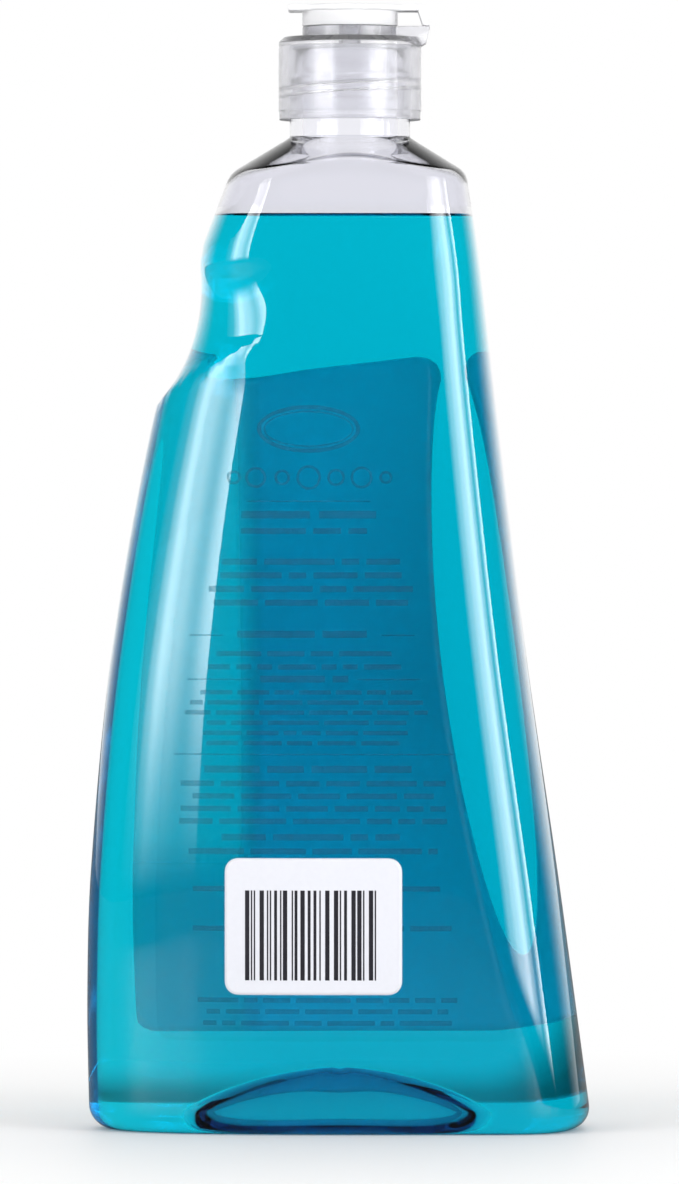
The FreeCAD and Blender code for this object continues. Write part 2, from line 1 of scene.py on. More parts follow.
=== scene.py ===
"""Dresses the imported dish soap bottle: clear shell, soap, labels, sticker and closure, lit in a white studio.

Forms are worked out in millimetres from the same named values as the CAD, and written in metres.
"""
import math

import bmesh
import bpy
import numpy as np
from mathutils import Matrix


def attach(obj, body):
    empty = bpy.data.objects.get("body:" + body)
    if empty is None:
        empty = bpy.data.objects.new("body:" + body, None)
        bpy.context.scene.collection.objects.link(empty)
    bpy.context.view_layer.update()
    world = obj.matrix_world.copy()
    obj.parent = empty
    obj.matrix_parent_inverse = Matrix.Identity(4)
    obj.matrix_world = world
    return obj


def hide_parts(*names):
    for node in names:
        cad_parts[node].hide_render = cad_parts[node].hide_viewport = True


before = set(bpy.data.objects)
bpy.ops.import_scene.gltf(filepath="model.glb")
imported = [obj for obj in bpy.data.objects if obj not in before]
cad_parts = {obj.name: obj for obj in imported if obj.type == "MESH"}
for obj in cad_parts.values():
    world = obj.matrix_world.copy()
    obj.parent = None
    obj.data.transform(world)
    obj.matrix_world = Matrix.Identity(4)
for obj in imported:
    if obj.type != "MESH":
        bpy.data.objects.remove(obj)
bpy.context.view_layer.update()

MM = 0.001
TAU = 2 * math.pi

# Sizes, in millimetres, as in the CAD

LEVELS = np.array([0.0, 30.0, 60.0, 110.0, 165.0, 200.0, 218.8])
LEFT = np.array([57.4, 57.9, 57.0, 52.1, 42.2, 32.1, 25.1])
RIGHT = np.array([58.0, 54.0, 49.9, 42.6, 35.9, 31.9, 29.1])
DEPTH = np.array([25.0, 25.4, 25.1, 23.8, 21.9, 20.2, 18.9])
GRIP_LEVEL, UPPER_LEVEL, SHOULDER_LEVEL = LEVELS[4:7]
SHOULDER_RISE = 8.3
NECK_ROOT = SHOULDER_LEVEL + SHOULDER_RISE
# Each end of a section: exponent across, exponent front to back, rounding all round
LEFT_LOW = np.array([2.0, 2.0, 16.0])
LEFT_HIGH = np.array([12.0, 1.5, 7.0])
RIGHT_END = np.array([16.0, 1.6, 8.0])
HEEL = 5.5
WALL = 0.5
SCOOP_RADIUS, SCOOP_END, SCOOP_CLIMB, SCOOP_LIP = 43.0, 12.0, 17.0, 0.7
DENT_DEPTH, DENT_RADIUS = 0.7, 13.0
ARCH_HEIGHT, ARCH_LENGTH, ARCH_WIDTH = 14.5, 38.3, 17.5
CORNER_START, CORNER_REACH = 4.2, 2.2

NECK_X = 2.4
COLLAR_RADIUS, COLLAR_TOP = 13.8, NECK_ROOT + 5.4
FINISH_RADIUS, BORE_RADIUS = 12.6, 10.9
LAND = COLLAR_TOP + 14.6
PITCH, THREAD_TURNS, THREAD_DEPTH, THREAD_WIDTH = 4.23, 1.5, 1.1, 2.2
THREAD_TOP = LAND - 3.4
THREAD_FOOT = THREAD_TOP - PITCH * THREAD_TURNS

FILL_LEVEL = SHOULDER_LEVEL - 10.3
MENISCUS = 0.9

LABEL_BOTTOM, LABEL_HEIGHT, LABEL_CLIMB = 21.6, 149.7, 5.5
LABEL_LEFT, LABEL_LEAN, LABEL_RIGHT, LABEL_BOW, LABEL_CORNER = 12.0, 4.5, 14.0, 6.0, 3.0
STICKER_SIZE, STICKER_CENTRE, STICKER_CORNER = (40.2, 31.0), (-5.9, 47.6), 3.0

SKIRT_RADIUS, SKIRT_WALL = 16.35, 2.2
UNDERSIDE = LAND + 1.0
DECK = UNDERSIDE + 2.0
RIM = DECK - 19.0
RIM_BAND, RIM_STEP = 2.1, 0.15
RING_RADIUS, RING_WALL = 10.9, 1.2
PARTING = DECK + 2.4
SPOUT_RADIUS, ORIFICE_RADIUS = 3.2, 1.75
SPOUT_TOP = DECK + 3.2
LID_FOOT = PARTING + 0.12
LID_TOP = PARTING + 4.9
PLATE = 1.4
PLATE_RADIUS, LIP_REACH, LIP_HALF = 11.6, 14.2, 7.0
HINGE_REACH, HINGE_HALF, LUG_LEAN, LUG_DROP = 18.3, 5.5, 1.7, 3.8
SEAL_RADIUS, SEAL_HOLE = 13.3, 8.0

# Points in a ring, their angles around the neck's axis, and rings of the pushed-up base
COLUMNS = 256
TURN = -math.pi + TAU * np.arange(COLUMNS) / COLUMNS
BASE_RINGS = 28


# Forms of the blown body

def through(values, z):
    """A smooth curve through the stations' values, read at height z."""
    last = len(LEVELS) - 1
    low = np.maximum(np.arange(last + 1) - 1, 0)
    high = np.minimum(np.arange(last + 1) + 1, last)
    slopes = (values[high] - values[low]) / (LEVELS[high] - LEVELS[low])
    i = int(np.clip(np.searchsorted(LEVELS, z, side="right") - 1, 0, last - 1))
    span = LEVELS[i + 1] - LEVELS[i]
    s = (z - LEVELS[i]) / span
    return (
        (2 * s**3 - 3 * s**2 + 1) * values[i]
        + (s**3 - 2 * s**2 + s) * span * slopes[i]
        + (3 * s**2 - 2 * s**3) * values[i + 1]
        + (s**3 - s**2) * span * slopes[i + 1]
    )


def even_ring(x, y, *others):
    """The same closed curve with its points spread evenly along it."""
    steps = np.hypot(np.diff(x), np.diff(y))
    along = np.concatenate([[0], np.cumsum(steps)])
    wanted = np.linspace(0, along[-1], COLUMNS, endpoint=False)
    return [np.interp(wanted, along, values) for values in (x, y) + others]


def oval(left, right, depth, ends):
    """A section of the body: x, y and the outward normal, from the left tip around by the back."""
    turn = np.linspace(-math.pi, math.pi, 6001)
    c, s = np.cos(turn), np.sin(turn)
    across, along, rounding = (np.where(c < 0, one, other) for one, other in zip(*ends))
    x = np.sign(c) * np.abs(c) ** (2 / across)
    y = np.sign(s) * np.abs(s) ** (2 / along)
    middle, half, wide = (right - left) / 2, (right + left) / 2 - rounding, depth - rounding
    nx = np.sign(x) * across * np.abs(x) ** (across - 1) / half
    ny = np.sign(y) * along * np.abs(y) ** (along - 1) / wide
    length = np.hypot(nx, ny)
    nx, ny = nx / length, ny / length
    return even_ring(middle + half * x + rounding * nx, wide * y + rounding * ny, nx, ny)


def section_ends(z):
    """The character of a section's left and right ends."""
    share = np.clip((z - GRIP_LEVEL) / (UPPER_LEVEL - GRIP_LEVEL), 0, 1)
    share = share * share * (3 - 2 * share)
    return LEFT_LOW + (LEFT_HIGH - LEFT_LOW) * share, RIGHT_END


def scoop(x, z, left):
    """Depth of the finger scoop."""
    across = np.clip((x + left) / (left - SCOOP_END), 0, 1)
    lower = GRIP_LEVEL + SCOOP_CLIMB * across**0.55
    height = UPPER_LEVEL - GRIP_LEVEL
    seen = UPPER_LEVEL - (UPPER_LEVEL - z) * height / (UPPER_LEVEL - lower)
    inside = (across < 1) & (z > lower) & (z < UPPER_LEVEL)
    seen = np.where(inside, seen, UPPER_LEVEL - 1)
    arc = SCOOP_RADIUS - np.sqrt(np.maximum(SCOOP_RADIUS**2 - (seen - UPPER_LEVEL + height / 5) ** 2, 0))
    outline = np.array([through(LEFT, value) for value in seen])
    lip = SCOOP_LIP * (1 - np.exp(-np.maximum(UPPER_LEVEL + 2.0 - z, 0) / 2.0))
    depth = np.where(inside, np.maximum(outline - (LEFT[5] - 0.4 + arc), 0), 0.0)
    return np.maximum(depth, np.where(z > lower, lip, 0)) * (1 - across)


def dent(x, z):
    """Depth of the shallow finger dent at the right."""
    away = np.hypot(x - (RIGHT[5] - 9), z - (UPPER_LEVEL - 4)) / DENT_RADIUS
    return DENT_DEPTH * np.exp(-2 * away**2)


def body_ring(z, inset, sink_in=0.0):
    """One ring of the body's skin, set in from the outside."""
    left, right, depth = through(LEFT, z), through(RIGHT, z), through(DEPTH, z)
    x, y, nx, ny = oval(left, right, depth, section_ends(z))
    sink = inset + sink_in + scoop(x, z, left) + dent(x, z) * np.abs(ny)
    return np.column_stack([x - nx * sink, y - ny * sink, np.full(COLUMNS, z)])


def circle(radius, z):
    """A ring around the neck's axis. Radius may be one number or one for each column."""
    return np.column_stack([NECK_X + radius * np.cos(TURN), radius * np.sin(TURN), np.zeros(COLUMNS) + z])


def shoulder_rings(inset, top_radius):
    """Rings from under the shoulder's rounded corner up to the root of the neck.

    The corner stands higher where the way in to the neck is shorter.
    """
    level = SHOULDER_LEVEL - inset
    side = body_ring(level, inset)
    below = body_ring(level - CORNER_START, inset)
    root = circle(top_radius, level + SHOULDER_RISE)
    run = np.hypot(side[:, 0] - root[:, 0], side[:, 1] - root[:, 1])
    slope = (side - below) / CORNER_START
    corner = side + slope * SHOULDER_RISE * (1 - np.sqrt(run / run.max()))[:, None]
    before = corner - slope * CORNER_REACH
    way = root - corner
    after = corner + way * CORNER_REACH / np.linalg.norm(way, axis=1)[:, None]
    rings = [below + (before - below) * share for share in (0.33, 0.67)]
    for t in np.linspace(0, 1, 11):
        rings.append(before * (1 - t) ** 2 + corner * 2 * t * (1 - t) + after * t**2)
    return rings + [after + (root - after) * share for share in np.linspace(0, 1, 13)[1:]]


def arch_ring(share, grow, floor):
    """One ring of the pushed-up base."""
    turn = np.linspace(-math.pi, math.pi, 2001)
    x, y = even_ring((ARCH_LENGTH + grow) * share * np.cos(turn), (ARCH_WIDTH + grow) * share * np.sin(turn))
    front = (y / np.abs(y).max()) ** 2
    height = ARCH_HEIGHT * max(1 - share ** 1.7, 0) ** (0.65 + 0.35 * front)
    height -= ARCH_HEIGHT * 0.5 * front * share * (1 - share)
    return np.column_stack([x, y, floor + height])


def foot_rings(inset, floor, grow):
    """Rings from the middle of the base out to the foot's rounded edge and up to the side."""
    shares = np.sin(np.linspace(0.03, 1, BASE_RINGS) * math.pi / 2)
    rings = [arch_ring(share, grow, floor) for share in shares]
    heel = HEEL - inset
    edge = body_ring(0.0, inset + heel)
    edge[:, 2] = floor
    for share in (0.04, 0.3, 0.65):
        rings.append(rings[BASE_RINGS - 1] * (1 - share) + edge * share)
    for step in range(13):
        lean = math.pi / 2 * step / 12
        z = floor + heel * (1 - math.cos(lean))
        rings.append(body_ring(z, inset, heel * (1 - math.sin(lean))))
    return rings


def side_rings(inset, floor, top, steps=120):
    """Rings of the body's side, from its rounded foot up to a level."""
    heights = np.linspace(floor + HEEL - inset, top, steps + 1)[1:]
    return [body_ring(z, inset) for z in heights]


def thread_height(z, start, turns):
    """Height of a helical thread around a cylinder at height z, for each column, from 0 to 1."""
    turn = np.arange(COLUMNS) / COLUMNS + 0.5
    best = np.zeros(COLUMNS)
    for lap in range(int(math.ceil(turns)) + 1):
        at = turn - 1 + lap
        centre = start + PITCH * at
        away = np.abs(z - centre)
        rise = np.clip((THREAD_WIDTH / 2 - away) / (THREAD_WIDTH / 4), 0, 1)
        fade = np.clip(np.minimum(at, turns - at) / 0.06, 0, 1)
        best = np.maximum(best, rise * fade)
    return best * best * (3 - 2 * best)


# Meshes

def mesh_object(name, vertices, faces, body, turned=True):
    """A smooth piece from vertices in millimetres, with the faces of a closed one turned outwards."""
    mesh = bpy.data.meshes.new(name)
    mesh.from_pydata([tuple(v) for v in np.asarray(vertices) * MM], [], faces)
    if turned:
        work = bmesh.new()
        work.from_mesh(mesh)
        bmesh.ops.recalc_face_normals(work, faces=work.faces)
        work.to_mesh(mesh)
        work.free()
    mesh.shade_smooth()
    piece = bpy.data.objects.new(name, mesh)
    bpy.context.scene.collection.objects.link(piece)
    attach(piece, body)
    return piece


def ring_faces(rings, poles=(False, False), closed=False):
    """Faces between consecutive rings, with a pole at either end where asked."""
    count = len(rings)
    vertices = np.vstack(rings)
    faces = []
    pairs = count if closed else count - 1
    for i in range(pairs):
        low, high = i * COLUMNS, ((i + 1) % count) * COLUMNS
        for j in range(COLUMNS):
            k = (j + 1) % COLUMNS
            faces.append((low + j, low + k, high + k, high + j))
    for end, wanted in zip((0, count - 1), poles):
        if wanted:
            tip = len(vertices)
            vertices = np.vstack([vertices, rings[end].mean(axis=0)])
            start = end * COLUMNS
            faces += [(start + j, start + (j + 1) % COLUMNS, tip) for j in range(COLUMNS)]
    return vertices, faces


def rounded(profile, radius, steps=3):
    """A closed profile of (r, z) points with its corners rounded."""
    points = [np.array(p, float) for p in profile]
    out = []
    for i, corner in enumerate(points):
        before, after = points[i - 1], points[(i + 1) % len(points)]
        a, b = before - corner, after - corner
        la, lb = np.linalg.norm(a), np.linalg.norm(b)
        reach = min(radius, la * 0.45, lb * 0.45)
        start, end = corner + a / la * reach, corner + b / lb * reach
        for step in range(steps + 1):
            t = step / steps
            out.append(start * (1 - t) ** 2 + corner * 2 * t * (1 - t) + end * t**2)
    return out


# Shader helpers

class Value:
    """A shader value, so that patterns can be written as plain sums."""

    def __init__(self, shader, socket):
        self.shader = shader
        self.socket = socket

    def math(self, operation, other=None):
        node = self.shader.tree.nodes.new("ShaderNodeMath")
        node.operation = operation
        self.shader.feed(node.inputs[0], self)
        if other is not None:
            self.shader.feed(node.inputs[1], other)
        return Value(self.shader, node.outputs[0])

    def __add__(self, other):
        return self.math("ADD", other)

    def __sub__(self, other):
        return self.math("SUBTRACT", other)

    def __mul__(self, other):
        return self.math("MULTIPLY", other)

    def __truediv__(self, other):
        return self.math("DIVIDE", other)

    def __lt__(self, other):
        return self.math("LESS_THAN", other)

    def abs(self):
        return self.math("ABSOLUTE")

    def max(self, other):
        return self.math("MAXIMUM", other)

    def min(self, other):
        return self.math("MINIMUM", other)

    def power(self, other):
        return self.math("POWER", other)

    def between(self, low, high):
        """0 at low, 1 at high and a straight line from one to the other. Low may be the higher of the two."""
        return ((self - low) / (high - low)).max(0.0).min(1.0)


class Shader:
    """A material's nodes."""

    def __init__(self, name):
        self.material = bpy.data.materials.new(name)
        self.material.use_nodes = True
        self.tree = self.material.node_tree
        self.bsdf = self.tree.nodes["Principled BSDF"]
        self.output = self.tree.nodes["Material Output"]
        self.place = self.tree.nodes.new("ShaderNodeTexCoord").outputs["Object"]

    def feed(self, slot, value):
        if isinstance(value, Value):
            self.tree.links.new(value.socket, slot)
        else:
            slot.default_value = value

    def set(self, **values):
        """Set the shader's inputs, named with underscores for spaces."""
        for name, value in values.items():
            self.feed(self.bsdf.inputs[name.replace("_", " ")], value)

    def axes(self):
        """Position in millimetres."""
        split = self.tree.nodes.new("ShaderNodeSeparateXYZ")
        self.tree.links.new(self.place, split.inputs[0])
        return [Value(self, out) * 1000.0 for out in split.outputs]

    def noise(self, scale, detail=3.0, roughness=0.5, stretch=(1, 1, 1)):
        """Noise from 0 to 1, with scale in features per millimetre."""
        mapping = self.tree.nodes.new("ShaderNodeMapping")
        mapping.inputs["Scale"].default_value = tuple(1000 * scale * s for s in stretch)
        node = self.tree.nodes.new("ShaderNodeTexNoise")
        node.inputs["Scale"].default_value = 1.0
        node.inputs["Detail"].default_value = detail
        node.inputs["Roughness"].default_value = roughness
        self.tree.links.new(self.place, mapping.inputs["Vector"])
        self.tree.links.new(mapping.outputs[0], node.inputs["Vector"])
        return Value(self, node.outputs["Fac"])

    def mix(self, share, low, high):
        """A colour between two colours."""
        node = self.tree.nodes.new("ShaderNodeMix")
        node.data_type = "RGBA"
        self.feed(node.inputs[0], share)
        for slot, colour in ((node.inputs[6], low), (node.inputs[7], high)):
            self.feed(slot, colour if isinstance(colour, Value) else tuple(colour) + (1.0,))
        return Value(self, node.outputs[2])

    def span(self, value, low, high):
        """The value's 0 to 1 spread from low to high."""
        return value * (high - low) + low

    def bump(self, height, distance, strength=1.0):
        """Bumps of a height in millimetres."""
        node = self.tree.nodes.new("ShaderNodeBump")
        node.inputs["Strength"].default_value = strength
        node.inputs["Distance"].default_value = distance * MM
        self.feed(node.inputs["Height"], height)
        self.tree.links.new(node.outputs[0], self.bsdf.inputs["Normal"])

    def wear(self, piece):
        piece.data.materials.clear()
        piece.data.materials.append(self.material)


def wear_several(piece, shaders, numbers):
    """Several materials on one piece, with the number of its material for each face."""
    piece.data.materials.clear()
    for shader in shaders:
        piece.data.materials.append(shader.material)
    for polygon, number in zip(piece.data.polygons, numbers):
        polygon.material_index = number


def srgb(r, g, b):
    """A colour in linear light from its 0 to 255 screen values."""
    values = [v / 255 for v in (r, g, b)]
    return tuple(v / 12.92 if v <= 0.04045 else ((v + 0.055) / 1.055) ** 2.4 for v in values)


# Bottle

# How strongly the clear wall bends light, and how its faint waves stretch along x, y and z
BLOWN_IOR, BASE_IOR = 1.36, 1.24
WAVES = (1, 1, 0.35)


def outer_rings():
    """Rings of the outside, from the middle of the base up to the sealing land."""
    rings = foot_rings(0, 0, 0) + side_rings(0, 0, SHOULDER_LEVEL - CORNER_START)
    rings += shoulder_rings(0, COLLAR_RADIUS)
    rings += [circle(COLLAR_RADIUS, z) for z in (NECK_ROOT + 0.3, NECK_ROOT + 2, COLLAR_TOP - 0.3)]
    rings += [circle(COLLAR_RADIUS - 0.2, COLLAR_TOP), circle(FINISH_RADIUS + 0.3, COLLAR_TOP + 0.1)]
    for z in np.arange(COLLAR_TOP + 0.4, LAND - 0.5, 0.22):
        radius = FINISH_RADIUS + THREAD_DEPTH * thread_height(z, THREAD_FOOT, THREAD_TURNS)
        rings.append(circle(radius, z))
    return rings + [circle(FINISH_RADIUS, LAND - 0.4), circle(FINISH_RADIUS - 0.25, LAND)]


def bore_rings():
    """Rings of the bore, from the land down to the root of the neck."""
    rings = [circle(BORE_RADIUS + 0.25, LAND), circle(BORE_RADIUS, LAND - 0.3)]
    return rings + [circle(BORE_RADIUS, z) for z in (LAND - 5, LAND - 10, COLLAR_TOP, NECK_ROOT - WALL + 0.6)]


def dry_wall_rings():
    """Rings of the inner wall, from the root of the neck down to the soap's edge."""
    rings = shoulder_rings(WALL, BORE_RADIUS)[::-1]
    levels = np.linspace(SHOULDER_LEVEL - CORNER_START - WALL, FILL_LEVEL + MENISCUS, 8)
    return rings + [body_ring(z, WALL) for z in levels]


def blown_plastic(name, low, high):
    """Clear plastic with the faint waves of a blown wall."""
    shade = Shader(name)
    shade.set(Base_Color=shade.mix(shade.noise(0.03, 2.0), low, high))
    shade.set(Transmission_Weight=1.0, IOR=BLOWN_IOR)
    shade.set(Roughness=shade.span(shade.noise(0.2, 4.0), 0.0, 0.03))
    shade.bump(shade.noise(0.05, 2.0, 0.4, WAVES), 0.25, 0.25)
    return shade


def clear_body():
    """The outside of the body, up to the soap's level."""
    shade = blown_plastic("clear_blown_plastic", (0.965, 0.975, 0.995), (0.985, 0.99, 1.0))
    shade.set(Specular_IOR_Level=1.0, Coat_Weight=1.0, Coat_Roughness=0.0)
    return shade


def clear_neck():
    """The outside above the soap and the bore, greyer and without the body's strong highlights."""
    shade = blown_plastic("clear_shoulder_and_neck", (0.93, 0.93, 0.965), (0.95, 0.95, 0.975))
    shade.set(Specular_IOR_Level=0.6)
    return shade


def pushed_up_base_painted_shade():
    """The pushed-up base, with a weaker bend of light and a painted shade: its dark teal colour stands in for
    the shadowed floor seen through its hollow.
    """
    shade = Shader("pushed_up_base_with_painted_shade")
    # Painted shade: the dark teal colour stands in for the shadowed floor seen through the hollow
    shade.set(Base_Color=shade.mix(shade.noise(0.03, 2.0), (0.28, 0.56, 0.68), (0.34, 0.6, 0.73)))
    shade.set(Transmission_Weight=1.0, IOR=BASE_IOR)
    shade.set(Roughness=shade.span(shade.noise(0.2, 4.0), 0.02, 0.06))
    return shade


def wetted_wall():
    """The inner wall that the soap wets, which light passes straight."""
    shade = Shader("wetted_inner_wall")
    shade.set(Base_Color=shade.mix(shade.noise(0.05, 2.0), (0.985, 0.99, 1.0), (1.0, 1.0, 1.0)))
    shade.set(Transmission_Weight=1.0, IOR=1.0, Roughness=0.0)
    return shade


def dry_wall():
    """The inner wall above the soap."""
    shade = Shader("dry_inner_wall")
    shade.set(Base_Color=shade.mix(shade.noise(0.04, 2.0), (0.8, 0.8, 0.86), (0.83, 0.83, 0.88)))
    shade.set(Transmission_Weight=1.0, IOR=BLOWN_IOR, Specular_IOR_Level=0.6)
    shade.set(Roughness=shade.span(shade.noise(0.3, 3.0), 0.0, 0.04))
    return shade


def build_bottle():
    """The shell: its outside up to the land, the bore, and its inside down to the base again."""
    rings = outer_rings()
    neck_start = next(i for i, ring in enumerate(rings) if ring[0][2] > FILL_LEVEL + MENISCUS)
    rings += bore_rings()
    dry_start = len(rings) - 1
    rings += dry_wall_rings()
    wet_start = len(rings) - 1
    rings += side_rings(WALL, WALL, FILL_LEVEL, 110)[::-1]
    rings += foot_rings(WALL, WALL, WALL)[::-1]
    vertices, faces = ring_faces(rings, poles=(True, True))
    piece = mesh_object("clear_bottle", vertices, faces, "bottle_body")
    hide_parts("bottle")
    # Each strip of faces between two rings takes one material, and the two poles come last
    body, wetted, dry, neck, base = range(5)
    poles = (len(rings) - 1) * COLUMNS
    numbers = np.full(len(faces), body)
    numbers[: BASE_RINGS * COLUMNS] = base
    numbers[neck_start * COLUMNS : dry_start * COLUMNS] = neck
    numbers[dry_start * COLUMNS : wet_start * COLUMNS] = dry
    numbers[wet_start * COLUMNS :] = wetted
    numbers[poles : poles + COLUMNS] = base
    shaders = (clear_body(), wetted_wall(), dry_wall(), clear_neck(), pushed_up_base_painted_shade())
    wear_several(piece, shaders, numbers.tolist())


# Soap

MENISCUS_REACH = 0.8
# The soap's volume stays off the wall, and its surface reaches a little into it
SOAP_GAP, SURFACE_OVERLAP = 0.02, 0.1
SOAP_COLOUR, SOAP_DENSITY, SOAP_IOR = (0.0, 0.915, 0.948, 1.0), 200.0, 1.34


def level_rings(inset, lift):
    """Rings of the soap's top, from the wall to the middle, climbing a little at the wall."""
    rings = []
    for away in (0.0, 0.25, 0.55, 0.9, 1.4, 2.0, 3.0, 4.5):
        ring = body_ring(FILL_LEVEL, inset + away)
        ring[:, 2] = FILL_LEVEL + MENISCUS * math.exp(-away / MENISCUS_REACH) + lift
        rings.append(ring)
    centre = rings[-1].mean(axis=0)
    edge = rings[-1]
    return rings + [centre + (edge - centre) * share for share in (0.75, 0.5, 0.25, 0.05)]


def build_soap():
    """The soap's volume, and its surface as a skin that bends light."""
    inset = WALL + SOAP_GAP
    rings = foot_rings(inset, inset, inset) + side_rings(inset, inset, FILL_LEVEL)
    rings += level_rings(inset, -SOAP_GAP)
    vertices, faces = ring_faces(rings, poles=(True, True))
    piece = mesh_object("soap", vertices, faces, "bottle_body")
    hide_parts("liquid")
    soap = Shader("blue_soap")
    soap.set(Base_Color=soap.mix(soap.noise(0.02, 1.0), (0.99, 1.0, 1.0), (1.0, 1.0, 1.0)))
    soap.set(Transmission_Weight=1.0, IOR=1.0, Roughness=0.0)
    absorb = soap.tree.nodes.new("ShaderNodeVolumeAbsorption")
    absorb.inputs["Color"].default_value = SOAP_COLOUR
    absorb.inputs["Density"].default_value = SOAP_DENSITY
    soap.tree.links.new(absorb.outputs[0], soap.output.inputs["Volume"])
    soap.wear(piece)
    vertices, faces = ring_faces(level_rings(WALL - SURFACE_OVERLAP, 0.0), poles=(False, True))
    surface = mesh_object("soap_surface", vertices, faces, "bottle_body", turned=False)
    shine = Shader("soap_surface")
    shine.set(Base_Color=shine.mix(shine.noise(0.02, 1.0), (0.98, 1.0, 1.0), (1.0, 1.0, 1.0)))
    shine.set(Transmission_Weight=1.0, IOR=SOAP_IOR, Roughness=0.0)
    shine.wear(surface)


# Labels: a patch of the body's skin, from its outline

BACK, FRONT = -1, 1
LABEL_CELLS, STICKER_CELLS = (36, 80), (48, 40)
# How far the inner and the outer face of each stands off the skin, and how far its print does
BACK_FILM, FRONT_FILM, PAPER = (-0.12, 0.04), (-0.12, 0.06), (0.05, 0.2)
BACK_INK_LIFT, PAPER_INK_LIFT = 0.05, 0.22
PRINT_STEP, OVAL_POINTS = 1.5, 48
# Sections that were worked out before, by height
SECTIONS = {}


def half_section(z):
    """The back half of the body's section at a height, from left to right: x, distance and normal."""
    key = round(float(z), 3)
    if key not in SECTIONS:
        left, right, depth = through(LEFT, z), through(RIGHT, z), through(DEPTH, z)
        x, y, nx, ny = oval(left, right, depth, section_ends(z))
        half = slice(0, COLUMNS // 2 + 1)
        SECTIONS[key] = (x[half], -y[half], nx[half], -ny[half], left)
    return SECTIONS[key]


def skin_point(x, z, side, lift):
    """A point of the outer skin at x and z, on the back (-1) or the front (1), lifted off it."""
    xs, ys, nxs, nys, left = half_section(z)
    y, nx, ny = np.interp(x, xs, ys), np.interp(x, xs, nxs), np.interp(x, xs, nys)
    sink = float(scoop(np.array([x]), z, left)[0]) + float(dent(x, z)) * ny - lift
    return x - nx * sink, side * (y - ny * sink), z


def label_grid():
    """The labels' outline as a grid of (x, z) with rounded corners."""
    columns, rows = LABEL_CELLS
    grid = []
    for i in range(rows + 1):
        line = []
        for j in range(columns + 1):
            s, t = j / columns, i / rows
            top = LABEL_HEIGHT + LABEL_CLIMB * s
            z = LABEL_BOTTOM + top * t
            share = (z - LABEL_BOTTOM) / LABEL_HEIGHT
            low = LABEL_LEFT + LABEL_LEAN * (1 - share) - through(LEFT, z)
            high = through(RIGHT, z) - LABEL_RIGHT - LABEL_BOW * 4 * share * max(1 - share, 0)
            line.append([low + (high - low) * s, z])
        grid.append(line)
    return round_corners(np.array(grid), LABEL_CORNER)


def sticker_grid():
    """The sticker's outline as a grid of (x, z) with rounded corners."""
    columns, rows = STICKER_CELLS
    x = STICKER_CENTRE[0] + STICKER_SIZE[0] * (np.arange(columns + 1) / columns - 0.5)
    z = STICKER_CENTRE[1] + STICKER_SIZE[1] * (np.arange(rows + 1) / rows - 0.5)
    return round_corners(np.stack(np.meshgrid(x, z), axis=-1), STICKER_CORNER)


def round_corners(grid, radius):
    """Round a grid's corners, by drawing the points of each corner's square in to a quarter disc."""
    rows, columns = grid.shape[0] - 1, grid.shape[1] - 1
    for i_corner, j_corner in ((0, 0), (0, columns), (rows, 0), (rows, columns)):
        corner = grid[i_corner, j_corner].copy()
        along = grid[i_corner, columns - j_corner] - corner
        up = grid[3 if i_corner == 0 else rows - 3, j_corner] - corner
        step_j = along / np.linalg.norm(along)
        step_i = up / np.linalg.norm(up)
        centre = corner + (step_i + step_j) * radius
        for i in range(rows + 1):
            for j in range(columns + 1):
                offset = grid[i, j] - centre
                a, b = -(offset @ step_i), -(offset @ step_j)
                if a > 0 and b > 0:
                    grid[i, j] = centre + offset * (max(a, b) / math.hypot(a, b))
    return grid


def film_piece(name, grid, side, lifts, node):
    """A thin closed film over a grid, and for each face 0 on its outer side and 1 on the rest."""
    inner, outer = lifts
    rows, columns = grid.shape[0], grid.shape[1]
    count = rows * columns
    vertices = [skin_point(x, z, side, outer) for x, z in grid.reshape(-1, 2)]
    vertices += [skin_point(x, z, side, inner) for x, z in grid.reshape(-1, 2)]
    faces, outside = [], []
    for i in range(rows - 1):
        for j in range(columns - 1):
            a = i * columns + j
            quad = (a, a + 1, a + columns + 1, a + columns)
            faces.append(quad)
            outside.append(0)
            faces.append(tuple(v + count for v in reversed(quad)))
            outside.append(1)
    rim = list(range(columns))
    rim += [i * columns + columns - 1 for i in range(1, rows)]
    rim += [(rows - 1) * columns + j for j in range(columns - 2, -1, -1)]
    rim += [i * columns for i in range(rows - 2, 0, -1)]
    for a, b in zip(rim, rim[1:] + rim[:1]):
        faces.append((b, a, a + count, b + count))
        outside.append(1)
    piece = mesh_object(name, vertices, faces, "bottle_body")
    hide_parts(node)
    return piece, outside


